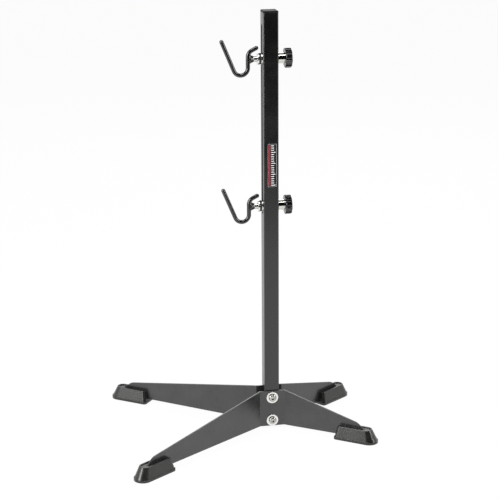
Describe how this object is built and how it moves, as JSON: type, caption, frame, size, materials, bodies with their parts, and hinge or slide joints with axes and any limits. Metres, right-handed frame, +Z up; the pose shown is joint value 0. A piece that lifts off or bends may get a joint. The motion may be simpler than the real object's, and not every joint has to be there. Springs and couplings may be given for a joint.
{
  "type": "two-hook display stand",
  "caption": "Free-standing slotted square post on a bent-plate base with rubber feet, with height-adjustable swivelling hooks clamped by hand knobs.",
  "frame": {"origin": "on the floor, under the middle of the whole footprint; the post's axis is 37.4 mm along +X from it, because the left legs are longer", "axes": "+Z up, -Y towards the front plate's bolt heads and the label, +X towards the knobs, the hooks on the -X side"},
  "size_m": [0.3332, 0.3006, 0.567],
  "materials": {
    "post_paint": "satin black powder coat",
    "base_paint": "fine-textured black powder coat",
    "hook_coating": "satin black dipped coating",
    "zinc_steel": "bright zinc plate",
    "foot_rubber": "dark grey moulded rubber",
    "washer_rubber": "black rubber",
    "knob_plastic": "glossy black moulding",
    "cap_plastic": "black moulding",
    "label_film": "printed film, plain scale only"
  },
  "bodies": {
    "stand": {"post_tube": "post_paint", "post_cap": "cap_plastic", "post_label": "label_film", "front_base_plate": "base_paint", "rear_base_plate": "base_paint", "front_left_foot": "foot_rubber", "front_right_foot": "foot_rubber", "rear_left_foot": "foot_rubber", "rear_right_foot": "foot_rubber", "lower_base_bolt": "zinc_steel", "lower_front_washer": "zinc_steel", "lower_rear_washer": "zinc_steel", "lower_base_nut": "zinc_steel", "upper_base_bolt": "zinc_steel", "upper_front_washer": "zinc_steel", "upper_rear_washer": "zinc_steel", "upper_base_nut": "zinc_steel"},
    "lower_slider": {"lower_outer_washer": "zinc_steel", "lower_rubber_washer": "washer_rubber", "lower_inner_washer": "zinc_steel"},
    "lower_hook_arm": {"lower_hook": "hook_coating", "lower_stud": "zinc_steel"},
    "lower_screw": {"lower_knob_bush": "zinc_steel"},
    "lower_hand_knob": {"lower_knob": "knob_plastic"},
    "upper_slider": {"upper_outer_washer": "zinc_steel", "upper_rubber_washer": "washer_rubber", "upper_inner_washer": "zinc_steel"},
    "upper_hook_arm": {"upper_hook": "hook_coating", "upper_stud": "zinc_steel"},
    "upper_screw": {"upper_knob_bush": "zinc_steel"},
    "upper_hand_knob": {"upper_knob": "knob_plastic"}
  },
  "joints": [
    {"name": "lower_hook_height", "type": "slide", "parent": "stand", "child": "lower_slider", "axis": [0, 0, 1], "range_m": [-0.0075, 0.0845]},
    {"name": "lower_hook_swivel", "type": "hinge", "parent": "lower_slider", "child": "lower_hook_arm", "pos_m": [0.03742, 0, 0.3115], "axis": [1, 0, 0], "continuous": true},
    {"name": "lower_knob_travel", "type": "slide", "parent": "lower_hook_arm", "child": "lower_screw", "axis": [1, 0, 0], "range_m": [0, 0.003]},
    {"name": "lower_knob_turn", "type": "hinge", "parent": "lower_screw", "child": "lower_hand_knob", "pos_m": [0.03742, 0, 0.3115], "axis": [1, 0, 0], "range_deg": [0, 1080]},
    {"name": "upper_hook_height", "type": "slide", "parent": "stand", "child": "upper_slider", "axis": [0, 0, 1], "range_m": [-0.0515, 0.04]},
    {"name": "upper_hook_swivel", "type": "hinge", "parent": "upper_slider", "child": "upper_hook_arm", "pos_m": [0.03742, 0, 0.5056], "axis": [1, 0, 0], "continuous": true},
    {"name": "upper_knob_travel", "type": "slide", "parent": "upper_hook_arm", "child": "upper_screw", "axis": [1, 0, 0], "range_m": [0, 0.003]},
    {"name": "upper_knob_turn", "type": "hinge", "parent": "upper_screw", "child": "upper_hand_knob", "pos_m": [0.03742, 0, 0.5056], "axis": [1, 0, 0], "range_deg": [0, 1080]}
  ],
  "couplings": [
    {"joint": "lower_knob_travel", "follows": "lower_knob_turn", "m_per_rad": 0.00015914},
    {"joint": "upper_knob_travel", "follows": "upper_knob_turn", "m_per_rad": 0.00015914}
  ]
}
